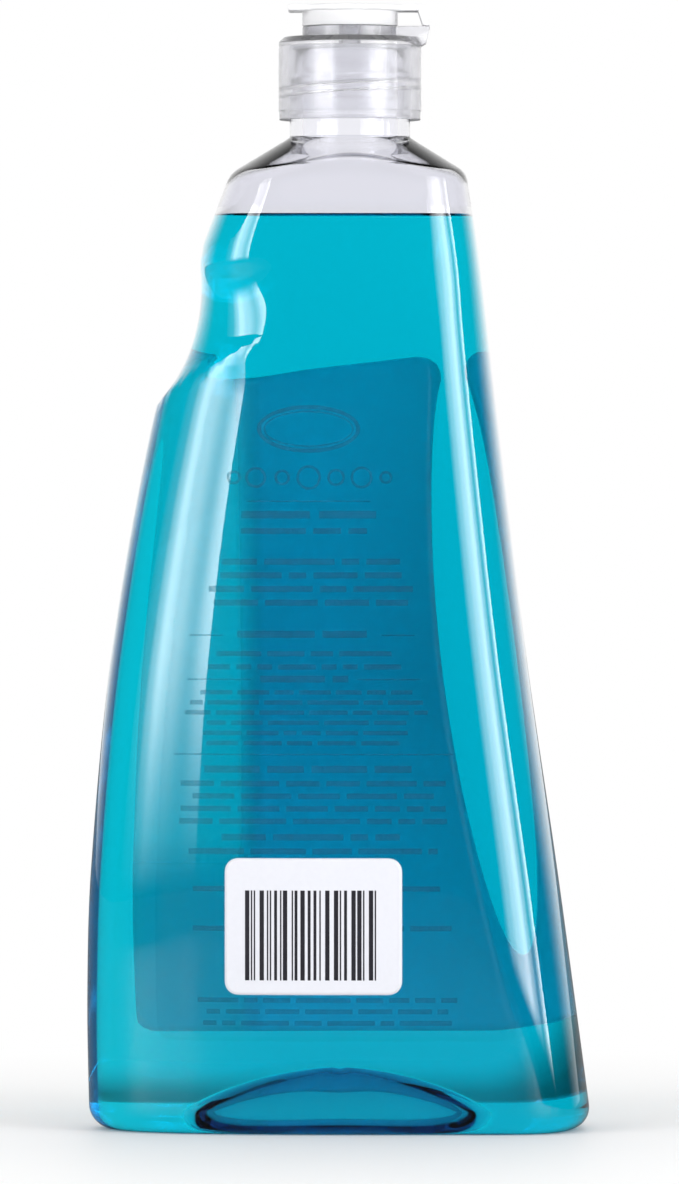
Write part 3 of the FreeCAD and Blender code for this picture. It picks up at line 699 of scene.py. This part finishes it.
class Print:
    """Flat marks that follow the skin of the bottle, all in one mesh."""

    def __init__(self, side, lift):
        self.side = side
        self.lift = lift
        self.vertices = []
        self.faces = []

    def strip(self, pairs, closed=False):
        """A band between two lines of (x, z) points."""
        first = len(self.vertices)
        for a, b in pairs:
            self.vertices += [skin_point(a[0], a[1], self.side, self.lift)]
            self.vertices += [skin_point(b[0], b[1], self.side, self.lift)]
        count = len(pairs)
        for i in range(count if closed else count - 1):
            j = (i + 1) % count
            low, high = first + 2 * i, first + 2 * j
            face = (low, high, high + 1, low + 1)
            self.faces.append(face if self.side < 0 else face[::-1])

    def bar(self, left, right, low, high):
        """A filled bar, cut up so that it follows the skin."""
        across = np.linspace(left, right, max(int((right - left) / PRINT_STEP), 1) + 1)
        up = np.linspace(low, high, max(int((high - low) / PRINT_STEP), 1) + 1)
        for bottom, top in zip(up, up[1:]):
            self.strip([((x, bottom), (x, top)) for x in across])

    def oval(self, centre, half_x, half_z, thickness):
        """An oval ring."""
        turn = np.linspace(0, TAU, OVAL_POINTS, endpoint=False)
        pairs = []
        for c, s in zip(np.cos(turn), np.sin(turn)):
            inner = (centre[0] + (half_x - thickness) * c, centre[1] + (half_z - thickness) * s)
            pairs.append((inner, (centre[0] + half_x * c, centre[1] + half_z * s)))
        self.strip(pairs, closed=True)

    def rows(self, chance, left, right, top, count, pitch, height, letter):
        """Centred rows of plain dashes of word length that stand in for lines of print."""
        middle, half = (left + right) / 2, (right - left) / 2
        for row in range(count):
            low = top - pitch * row - height * 0.85
            reach = half * (1 - 0.2 * chance.random())
            x = middle - reach
            while x < middle + reach - letter:
                wide = min(letter * chance.integers(2, 9), middle + reach - x)
                self.bar(x, x + wide, low, low + height * 0.7)
                x += wide + letter * 0.8

    def piece(self, name, slot):
        """The marks as one piece."""
        return mesh_object(name, self.vertices, self.faces, "bottle_body", turned=False)


def ring_mark(axes, centre, half_x, half_z, thickness):
    """An oval ring drawn in a material."""
    x, z = axes
    away = (((x - centre[0]) / half_x).power(2.0) + ((z - centre[1]) / half_z).power(2.0)).power(0.5)
    return (away - 1.0).abs() < thickness / (half_x + half_z)


# The back label's bubbles: x and radius
BACK_BUBBLES = (
    (-24.0, 1.6),
    (-19.0, 2.4),
    (-13.0, 1.8),
    (-7.0, 2.8),
    (-0.8, 2.0),
    (5.0, 2.5),
    (10.5, 1.5),
)
# Its rules: left end, right end and height
BACK_RULES = (
    (-21.0, 7.0, 144.0),
    (-34.0, -26.5, 113.6),
    (9.5, 17.0, 113.6),
    (-34.5, -20.0, 103.6),
    (4.0, 18.5, 103.6),
    (-37.5, 25.5, 86.6),
)
RULE_HALF = 0.15
# Its blocks of dashes: left, right, top, number of rows, pitch, height of a row and width of a letter
BACK_ROWS = (
    (-24.5, 10.5, 142.2, 1, 4.0, 2.5, 2.6),
    (-25.0, 9.5, 138.2, 1, 3.0, 1.9, 2.1),
    (-31.0, 18.0, 131.3, 4, 3.1, 2.0, 2.0),
    (-26.0, 9.0, 115.0, 1, 3.5, 2.3, 2.2),
    (-33.0, 18.0, 110.3, 2, 3.0, 1.7, 1.7),
    (-19.0, 3.0, 104.8, 1, 3.5, 2.2, 2.1),
    (-35.0, 20.0, 101.4, 6, 2.3, 1.45, 1.45),
    (-31.0, 19.0, 84.4, 1, 3.5, 2.3, 2.1),
    (-37.0, 25.0, 80.9, 4, 2.85, 1.8, 1.9),
    (-28.0, 15.0, 68.9, 1, 3.2, 2.1, 2.0),
    (-35.0, 23.0, 65.6, 1, 3.0, 1.9, 1.8),
    (-37.0, 28.0, 57.0, 1, 3.0, 1.7, 1.7),
    (-37.0, 29.0, 48.0, 1, 3.0, 1.7, 1.7),
    (-36.0, 30.5, 31.7, 3, 2.6, 1.6, 1.55),
)


def build_back_print():
    """The back label's print: a plain oval, bubbles, rules and rows of unreadable marks."""
    chance = np.random.default_rng(7)
    ink = Print(BACK, BACK_INK_LIFT)
    ink.oval((-7.0, 160.4), 11.7, 5.4, 0.9)
    ink.oval((-7.0, 160.4), 10.2, 4.1, 0.35)
    for x, radius in BACK_BUBBLES:
        ink.oval((x, 149.4), radius, radius, 0.6)
    for left, right, z in BACK_RULES:
        ink.bar(left, right, z - RULE_HALF, z + RULE_HALF)
    for row in BACK_ROWS:
        ink.rows(chance, *row)
    piece = ink.piece("back_print", "back_label")
    blue = Shader("dark_blue_ink")
    blue.set(Base_Color=blue.mix(blue.noise(0.4, 2.0), srgb(0, 22, 62), srgb(0, 30, 74)))
    blue.set(Roughness=blue.span(blue.noise(0.8, 2.0), 0.5, 0.6))
    blue.set(Alpha=blue.span(blue.noise(1.5, 2.0), 0.25, 0.35))
    blue.wear(piece)


def build_back_label():
    """The clear film on the back, and its print."""
    piece, _ = film_piece("clear_back_label", label_grid(), BACK, BACK_FILM, "back_label")
    clear = Shader("clear_film")
    clear.set(Base_Color=clear.mix(clear.noise(0.3, 2.0), (0.0, 0.01, 0.04), (0.0, 0.02, 0.06)))
    clear.set(Roughness=0.25, Specular_IOR_Level=1.0, Alpha=clear.span(clear.noise(1.0, 1.0), 0.02, 0.03))
    clear.wear(piece)
    build_back_print()


# The front label's bubbles: x, z and radius
FRONT_BUBBLES = (
    (-20, 60, 9),
    (-4, 48, 13),
    (14, 62, 8),
    (4, 78, 6),
    (-12, 84, 5),
    (12, 96, 4),
    (-20, 36, 6),
)
# Its white oval: a ring so thick that it fills its own middle
PANEL_CENTRE, PANEL_HALF_X, PANEL_HALF_Z, PANEL_THICKNESS = (-4.0, 122.0), 10.5, 7.5, 40.0
# Levels between which the painted glow on its inner face, which stands in for light coming through the film,
# grows less and less, the glow at the upper one, and what the lower adds
PAINTED_GLOW_FOOT, PAINTED_GLOW_TOP, PAINTED_GLOW_WEAK, PAINTED_GLOW_MORE = 25.0, 100.0, 0.11, 0.3


def label_cover_and_painted_light(x, z):
    """How opaque the front label is: it thins out towards its left edge, most of all higher up, a painted
    lightening that stands in for light from the left lamp reaching the film through the bottle's left side.
    """
    # Painted light: the film lets more of the bright background through at the left, for light from the left
    # lamp
    left = x.between(-16.0, -22.0)
    high = z.between(52.0, 66.0)
    return left * (high * -0.3 - 0.55) + 1.0


def build_front_label():
    """The printed film on the front. Its inner face has a painted glow, emission that stands in for light
    coming through the film, stronger towards the bottom.
    """
    piece, outside = film_piece(
        "printed_front_label", label_grid(), FRONT, FRONT_FILM, "front_label"
    )
    face = Shader("printed_front_film")
    x, _, z = face.axes()
    rise = z.between(LABEL_BOTTOM, LABEL_BOTTOM + 155.0)
    colour = face.mix(rise, srgb(0, 120, 170), srgb(60, 190, 215))
    panel = ring_mark((x, z), PANEL_CENTRE, PANEL_HALF_X, PANEL_HALF_Z, PANEL_THICKNESS)
    colour = face.mix(panel, colour, srgb(244, 248, 250))
    for bubble_x, bubble_z, radius in FRONT_BUBBLES:
        bubble = ring_mark((x, z), (bubble_x, bubble_z), radius, radius, 1.1)
        colour = face.mix(bubble, colour, srgb(200, 238, 245))
    face.set(Base_Color=face.mix(face.noise(0.5, 3.0) * 0.12, colour, srgb(255, 255, 255)))
    face.set(Roughness=face.span(face.noise(0.6, 3.0), 0.16, 0.26), Coat_Weight=0.3, Alpha=label_cover_and_painted_light(x, z))
    face.bump(face.noise(0.4, 2.0), 0.02, 0.3)
    behind = Shader("front_film_from_behind_painted_glow")
    x, _, z = behind.axes()
    cloudy = behind.noise(0.025, 3.0, 0.55)
    behind.set(Base_Color=behind.mix(cloudy, (0.6, 0.95, 0.95), (0.7, 1.0, 1.0)), Alpha=label_cover_and_painted_light(x, z))
    behind.set(Roughness=behind.span(behind.noise(0.6, 2.0), 0.7, 0.9))
    # Painted glow: emission that stands in for light coming through the film, stronger lower down
    behind.set(Emission_Color=(0.0, 0.85, 1.0, 1.0))
    behind.set(Emission_Strength=z.between(PAINTED_GLOW_TOP, PAINTED_GLOW_FOOT) * PAINTED_GLOW_MORE + PAINTED_GLOW_WEAK)
    wear_several(piece, (face, behind), outside)


# The sticker's bars: the thinnest, and where they start and end across and up
BAR_UNIT = 0.33
BARS_LEFT, BARS_RIGHT, BARS_LOW, BARS_HIGH = -21.4, 8.6, 35.4, 55.8


def build_sticker():
    """The paper sticker with its row of random bars."""
    piece, _ = film_piece("bar_sticker", sticker_grid(), BACK, PAPER, "code_sticker")
    paper = Shader("coated_paper")
    paper.set(Base_Color=paper.mix(paper.noise(0.9, 4.0), srgb(206, 207, 214), srgb(212, 213, 220)))
    paper.set(Roughness=paper.span(paper.noise(1.2, 3.0), 0.4, 0.55))
    paper.bump(paper.noise(2.0, 4.0), 0.01, 0.3)
    paper.wear(piece)
    chance = np.random.default_rng(3)
    bars = Print(BACK, PAPER_INK_LIFT)
    x = BARS_LEFT
    while x < BARS_RIGHT:
        wide = BAR_UNIT * chance.integers(1, 4)
        bars.bar(x, x + wide, BARS_LOW, BARS_HIGH)
        x += wide + BAR_UNIT * chance.integers(1, 4)
    black = Shader("black_ink")
    black.set(Base_Color=black.mix(black.noise(1.0, 2.0), srgb(24, 22, 32), srgb(38, 36, 46)))
    black.set(Roughness=black.span(black.noise(1.0, 2.0), 0.4, 0.5))
    black.wear(bars.piece("sticker_bars", "sticker"))


# Closure

CLOSURE_IOR = 1.45
PRISM_EDGE = 0.3


def build_seal():
    """The sealing disc between the finish and the closure."""
    corners = [
        (SEAL_HOLE, LAND),
        (SEAL_RADIUS, LAND),
        (SEAL_RADIUS, UNDERSIDE),
        (SEAL_HOLE, UNDERSIDE),
    ]
    profile = rounded(corners, 0.2)
    vertices, faces = ring_faces([circle(radius, z) for radius, z in profile], closed=True)
    piece = mesh_object("seal", vertices, faces, "rising_seal")
    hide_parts("sealing_ring")
    foam = Shader("foam_seal")
    foam.set(Base_Color=foam.mix(foam.noise(3.0, 3.0), srgb(222, 226, 232), srgb(240, 242, 245)))
    foam.set(Roughness=foam.span(foam.noise(2.0, 2.0), 0.4, 0.6), Transmission_Weight=0.4)
    foam.bump(foam.noise(4.0, 2.0), 0.02, 0.4)
    foam.wear(piece)


def upright(points, half_width, bevel=0.25):
    """A rounded prism across the closure from its side view: vertices and faces."""
    outline = rounded([(x + NECK_X, z) for x, z in points], bevel, 2)
    middle = sum(outline) / len(outline)
    rows = []
    inside = half_width - PRISM_EDGE
    for y, shrink in ((-half_width, PRISM_EDGE), (-inside, 0.0), (inside, 0.0), (half_width, PRISM_EDGE)):
        row = []
        for point in outline:
            away = point - middle
            point = point - away / np.linalg.norm(away) * shrink
            row.append((point[0], y, point[1]))
        rows.append(row)
    count = len(outline)
    vertices = [v for row in rows for v in row]
    faces = [tuple(range(count)), tuple(range(3 * count, 4 * count))[::-1]]
    for i in range(3):
        for j in range(count):
            k = (j + 1) % count
            faces.append((i * count + j, i * count + k, (i + 1) * count + k, (i + 1) * count + j))
    return vertices, faces


def merged(parts):
    """Several lots of vertices and faces as one."""
    vertices, faces = [], []
    for some_vertices, some_faces in parts:
        first = len(vertices)
        vertices += [tuple(v) for v in some_vertices]
        faces += [tuple(first + i for i in face) for face in some_faces]
    return vertices, faces


def closure_plastic(name, rough, tint_low, tint_high, transmission):
    """The moulded plastic of the closure and its lid."""
    shade = Shader(name)
    shade.set(Base_Color=shade.mix(shade.noise(0.08, 2.0), tint_low, tint_high))
    shade.set(Transmission_Weight=transmission, IOR=CLOSURE_IOR, Specular_IOR_Level=0.35)
    shade.set(Roughness=shade.span(shade.noise(0.5, 3.0), rough[0], rough[1]))
    shade.bump(shade.noise(0.25, 3.0), 0.05, 0.3)
    return shade


def build_closure():
    """The closure: skirt, thread, deck, raised ring and spout in one turned form, and the hinge lug."""
    inner = SKIRT_RADIUS - SKIRT_WALL
    outside = rounded(
        [
            (ORIFICE_RADIUS, SPOUT_TOP),
            (SPOUT_RADIUS, SPOUT_TOP),
            (SPOUT_RADIUS, DECK),
            (RING_RADIUS - RING_WALL, DECK),
            (RING_RADIUS - RING_WALL, PARTING),
            (RING_RADIUS, PARTING),
            (RING_RADIUS, DECK),
            (SKIRT_RADIUS - 1.2, DECK),
            (SKIRT_RADIUS, DECK - 1.2),
            (SKIRT_RADIUS, RIM + RIM_BAND),
            (SKIRT_RADIUS - RIM_STEP, RIM + RIM_BAND - 0.1),
            (SKIRT_RADIUS - RIM_STEP, RIM),
            (inner, RIM),
            (inner, RIM + 1.2),
            (inner, UNDERSIDE),
            (ORIFICE_RADIUS, UNDERSIDE),
        ],
        0.25,
    )
    rings = []
    for i, (radius, z) in enumerate(outside):
        rings.append(circle(radius, z))
        after = outside[(i + 1) % len(outside)]
        if abs(radius - inner) < 1e-6 and after[1] - z > 5:
            for height in np.arange(z + 0.3, after[1] - 0.3, 0.25):
                thread = thread_height(height, THREAD_FOOT - PITCH / 2, THREAD_TURNS)
                rings.append(circle(inner - THREAD_DEPTH * thread, height))
    lug = upright(
        [
            (RING_RADIUS - 0.4, PARTING - 0.06),
            (HINGE_REACH, PARTING - 0.06),
            (HINGE_REACH - 0.8, PARTING - LUG_DROP),
            (SKIRT_RADIUS - 0.6, PARTING - LUG_DROP - 1.0),
            (RING_RADIUS - 0.4, PARTING - LUG_DROP),
        ],
        HINGE_HALF,
    )
    vertices, faces = merged([ring_faces(rings, closed=True), lug])
    piece = mesh_object("screw_closure", vertices, faces, "closure_body")
    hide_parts("closure")
    clear = closure_plastic("clear_closure", (0.12, 0.2), (0.89, 0.89, 0.93), (0.92, 0.92, 0.95), 0.84)
    clear.wear(piece)


def plate_ring(z, inset):
    """The lid's top from above: a disc with a thumb lip at the left and a tab at the hinge."""
    c, s = np.cos(TURN), np.maximum(np.abs(np.sin(TURN)), 1e-6)
    tab = np.where(c > 0, np.minimum((HINGE_REACH - LUG_LEAN) / np.maximum(c, 1e-6), HINGE_HALF / s), 0)
    lip = np.where(c < 0, np.minimum(LIP_REACH / np.maximum(-c, 1e-6), LIP_HALF / s), 0)
    radius = (PLATE_RADIUS**24 + tab**24 + lip**24) ** (1 / 24) - inset
    radius = np.minimum(radius, np.where(c > 0, (HINGE_REACH - LUG_LEAN) / np.maximum(c, 0.3), radius))
    radius = np.minimum(radius, np.where(c < 0, LIP_REACH / np.maximum(-c, 0.3), radius))
    return circle(radius, z)


def build_lid():
    """The lid, from its plug out over its skirt and plate to the middle of its top."""
    under = LID_TOP - PLATE
    tip = SPOUT_TOP - 2.0
    inside = RING_RADIUS - RING_WALL
    profile = [
        (0.3, tip),
        (0.9, tip),
        (1.1, tip + 0.3),
        (1.5, under - 0.2),
        (1.8, under),
        (inside - 0.2, under),
        (inside, under - 0.2),
        (inside, LID_FOOT + 0.15),
        (inside + 0.15, LID_FOOT),
        (RING_RADIUS - 0.15, LID_FOOT),
        (RING_RADIUS, LID_FOOT + 0.15),
        (RING_RADIUS, under - 0.15),
        (RING_RADIUS + 0.15, under),
    ]
    rings = [circle(radius, z) for radius, z in profile]
    edge = [(0.45, under), (0.12, under + 0.18), (0.0, under + 0.5), (0.0, LID_TOP - 0.5)]
    edge += [(0.12, LID_TOP - 0.18), (0.45, LID_TOP), (1.2, LID_TOP)]
    rings += [plate_ring(z, inset) for inset, z in edge]
    rings += [circle(radius, LID_TOP) for radius in (9.5, 7.0, 4.0, 1.0)]
    lug = upright(
        [
            (HINGE_REACH - LUG_LEAN - 1.4, LID_TOP - 0.3),
            (HINGE_REACH - LUG_LEAN - 0.1, LID_TOP - 0.2),
            (HINGE_REACH, PARTING + 0.06),
            (HINGE_REACH - 1.6, PARTING + 0.06),
        ],
        HINGE_HALF,
    )
    vertices, faces = merged([ring_faces(rings, poles=(True, True)), lug])
    piece = mesh_object("flip_top_lid", vertices, faces, "lid_body")
    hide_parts("flip_lid")
    frosted = closure_plastic("frosted_lid", (0.25, 0.35), (0.96, 0.962, 0.98), (0.98, 0.98, 0.99), 0.25)
    frosted.wear(piece)


build_bottle()
build_soap()
build_front_label()
build_back_label()
build_sticker()
build_seal()
build_closure()
build_lid()


# Floor

# Distances from the middle, in millimetres, where the table begins to turn white and is all white
WHITE_START, WHITE_FULL = 60.0, 270.0


def build_floor():
    """A pale table that turns into the white background away from the bottle."""
    mesh = bpy.data.meshes.new("floor")
    mesh.from_pydata([(-6, -3, 0), (6, -3, 0), (6, 8, 0), (-6, 8, 0)], [], [(0, 1, 2, 3)])
    floor = bpy.data.objects.new("floor", mesh)
    bpy.context.scene.collection.objects.link(floor)
    shade = Shader("white_table")
    path = shade.tree.nodes.new("ShaderNodeLightPath")
    pale = shade.mix(shade.noise(0.002, 2.0), (0.965, 0.96, 0.955), (0.98, 0.975, 0.97))
    # Reflections see the table painted dark grey, a painted shade that keeps its reflection in the bottle dim
    shade.set(Base_Color=shade.mix(Value(shade, path.outputs["Is Glossy Ray"]), pale, (0.1, 0.1, 0.1)))
    shade.set(Roughness=shade.span(shade.noise(0.01, 2.0), 0.5, 0.6))
    x, y, _ = shade.axes()
    away = (x * x + y * y).power(0.5).between(WHITE_START, WHITE_FULL)
    away = away * away * (away * -2.0 + 3.0)
    seen = Value(shade, path.outputs["Is Camera Ray"]).max(Value(shade, path.outputs["Is Transmission Ray"]))
    white = shade.tree.nodes.new("ShaderNodeEmission")
    both = shade.tree.nodes.new("ShaderNodeMixShader")
    shade.feed(both.inputs[0], away * seen)
    shade.tree.links.new(shade.bsdf.outputs[0], both.inputs[1])
    shade.tree.links.new(white.outputs[0], both.inputs[2])
    shade.tree.links.new(both.outputs[0], shade.output.inputs["Surface"])
    shade.wear(floor)


build_floor()


# Light

# In metres, and brightness at shares of the width
BOX_DISTANCE, BOX_WIDTH, BOX_TOP = 1.1, 1.1, 0.65
BOX_PROFILE = (
    (0.0, 0.03),
    (0.17, 0.36),
    (0.36, 0.7),
    (0.53, 1.0),
    (0.66, 0.45),
    (0.78, 0.08),
    (1.0, 0.02),
)
# The world's brightness, along Y, where reflections and light see it, and what diffuse light sees more
WORLD_START, WORLD_FULL, WORLD_DIM, WORLD_AMBIENT = 0.4, 1.0, 0.01, 0.72


def softbox(name, azimuth, low, power, foot_fade):
    """A tall soft light, at an azimuth from the camera's side, facing the bottle.

    It is brightest along a strip off its middle and dims towards both of its sides and over
    foot_fade, a share of its height, at its lower end.
    """
    lamp = bpy.data.lights.new(name, "AREA")
    lamp.shape = "RECTANGLE"
    lamp.size = BOX_WIDTH
    lamp.size_y = BOX_TOP - low
    lamp.energy = power * BOX_WIDTH * (BOX_TOP - low) * math.pi
    box = bpy.data.objects.new(name, lamp)
    bpy.context.scene.collection.objects.link(box)
    turn = math.radians(azimuth)
    box.location = (BOX_DISTANCE * math.sin(turn), -BOX_DISTANCE * math.cos(turn), (low + BOX_TOP) / 2)
    box.rotation_euler = (math.pi / 2, 0, turn)
    box.visible_camera = False
    lamp.use_nodes = True
    nodes, links = lamp.node_tree.nodes, lamp.node_tree.links
    place = nodes.new("ShaderNodeNewGeometry")
    split = nodes.new("ShaderNodeSeparateXYZ")
    ramp = nodes.new("ShaderNodeValToRGB")
    ramp.color_ramp.interpolation = "EASE"
    marks = ramp.color_ramp.elements
    profile = BOX_PROFILE
    if azimuth < 0:
        profile = [(1 - share, value) for share, value in reversed(BOX_PROFILE)]
    for i, (share, value) in enumerate(profile):
        mark = marks[i] if i < 1 else marks.new(share)
        mark.position = share
        mark.color = (value, value, value, 1)
    links.new(place.outputs["Parametric"], split.inputs[0])
    links.new(split.outputs["X"], ramp.inputs["Fac"])
    fade = nodes.new("ShaderNodeMapRange")
    fade.interpolation_type = "SMOOTHSTEP"
    fade.inputs["From Min"].default_value = 0.0
    fade.inputs["From Max"].default_value = foot_fade
    links.new(split.outputs["Y"], fade.inputs["Value"])
    both = nodes.new("ShaderNodeMath")
    both.operation = "MULTIPLY"
    links.new(ramp.outputs["Color"], both.inputs[0])
    links.new(fade.outputs[0], both.inputs[1])
    links.new(both.outputs[0], nodes["Emission"].inputs["Strength"])


softbox("left_softbox", azimuth=-54, low=0.04, power=7.7, foot_fade=0.3)
softbox("right_softbox", azimuth=55, low=0.043, power=8.6, foot_fade=0.05)


def build_world():
    """White behind and through the bottle, dimmer on the camera's side for reflections and light."""
    world = bpy.data.worlds.new("studio")
    bpy.context.scene.world = world
    world.use_nodes = True
    nodes, links = world.node_tree.nodes, world.node_tree.links
    ground = nodes["Background"]
    path = nodes.new("ShaderNodeLightPath")
    place = nodes.new("ShaderNodeTexCoord")
    split = nodes.new("ShaderNodeSeparateXYZ")
    links.new(place.outputs["Generated"], split.inputs[0])
    ramp = nodes.new("ShaderNodeMapRange")
    ramp.interpolation_type = "SMOOTHSTEP"
    ramp.inputs["From Min"].default_value = WORLD_START
    ramp.inputs["From Max"].default_value = WORLD_FULL
    ramp.inputs["To Min"].default_value = WORLD_DIM
    ramp.inputs["To Max"].default_value = 1.0
    links.new(split.outputs["Y"], ramp.inputs["Value"])
    seen = nodes.new("ShaderNodeMath")
    seen.operation = "MAXIMUM"
    links.new(path.outputs["Is Camera Ray"], seen.inputs[0])
    links.new(path.outputs["Is Transmission Ray"], seen.inputs[1])
    strength = nodes.new("ShaderNodeMath")
    strength.operation = "MAXIMUM"
    soft = nodes.new("ShaderNodeMath")
    soft.operation = "MULTIPLY_ADD"
    soft.inputs[1].default_value = WORLD_AMBIENT
    links.new(path.outputs["Is Diffuse Ray"], soft.inputs[0])
    links.new(ramp.outputs[0], soft.inputs[2])
    links.new(seen.outputs[0], strength.inputs[0])
    links.new(soft.outputs[0], strength.inputs[1])
    links.new(strength.outputs[0], ground.inputs["Strength"])
    ground.inputs["Color"].default_value = (1, 1, 1, 1)


build_world()


# Camera

# The photograph's height in pixels and its scale, and where it was taken from, in metres
PHOTO_HEIGHT, PIXELS_PER_MM = 1184, 4.36
CAMERA_DISTANCE, CAMERA_HEIGHT, CAMERA_AIM = 2.0, 0.160, 0.123
SENSOR = 36.0


def build_camera():
    """At the height of the grip, square to the back of the bottle and aimed a little down."""
    data = bpy.data.cameras.new("camera")
    camera = bpy.data.objects.new("camera", data)
    bpy.context.scene.collection.objects.link(camera)
    drop = CAMERA_HEIGHT - CAMERA_AIM
    camera.location = (0, -CAMERA_DISTANCE, CAMERA_HEIGHT)
    camera.rotation_euler = (math.pi / 2 - math.atan(drop / CAMERA_DISTANCE), 0, 0)
    data.sensor_fit = "VERTICAL"
    data.sensor_height = SENSOR
    frame_height = PHOTO_HEIGHT / PIXELS_PER_MM * MM
    data.lens = SENSOR * math.hypot(CAMERA_DISTANCE, drop) / frame_height
    data.clip_start = 0.1
    data.clip_end = 50
    bpy.context.scene.camera = camera


build_camera()

scene = bpy.context.scene
scene.view_settings.view_transform = "Standard"
scene.cycles.max_bounces = 24
scene.cycles.transmission_bounces = 20
scene.cycles.transparent_max_bounces = 24
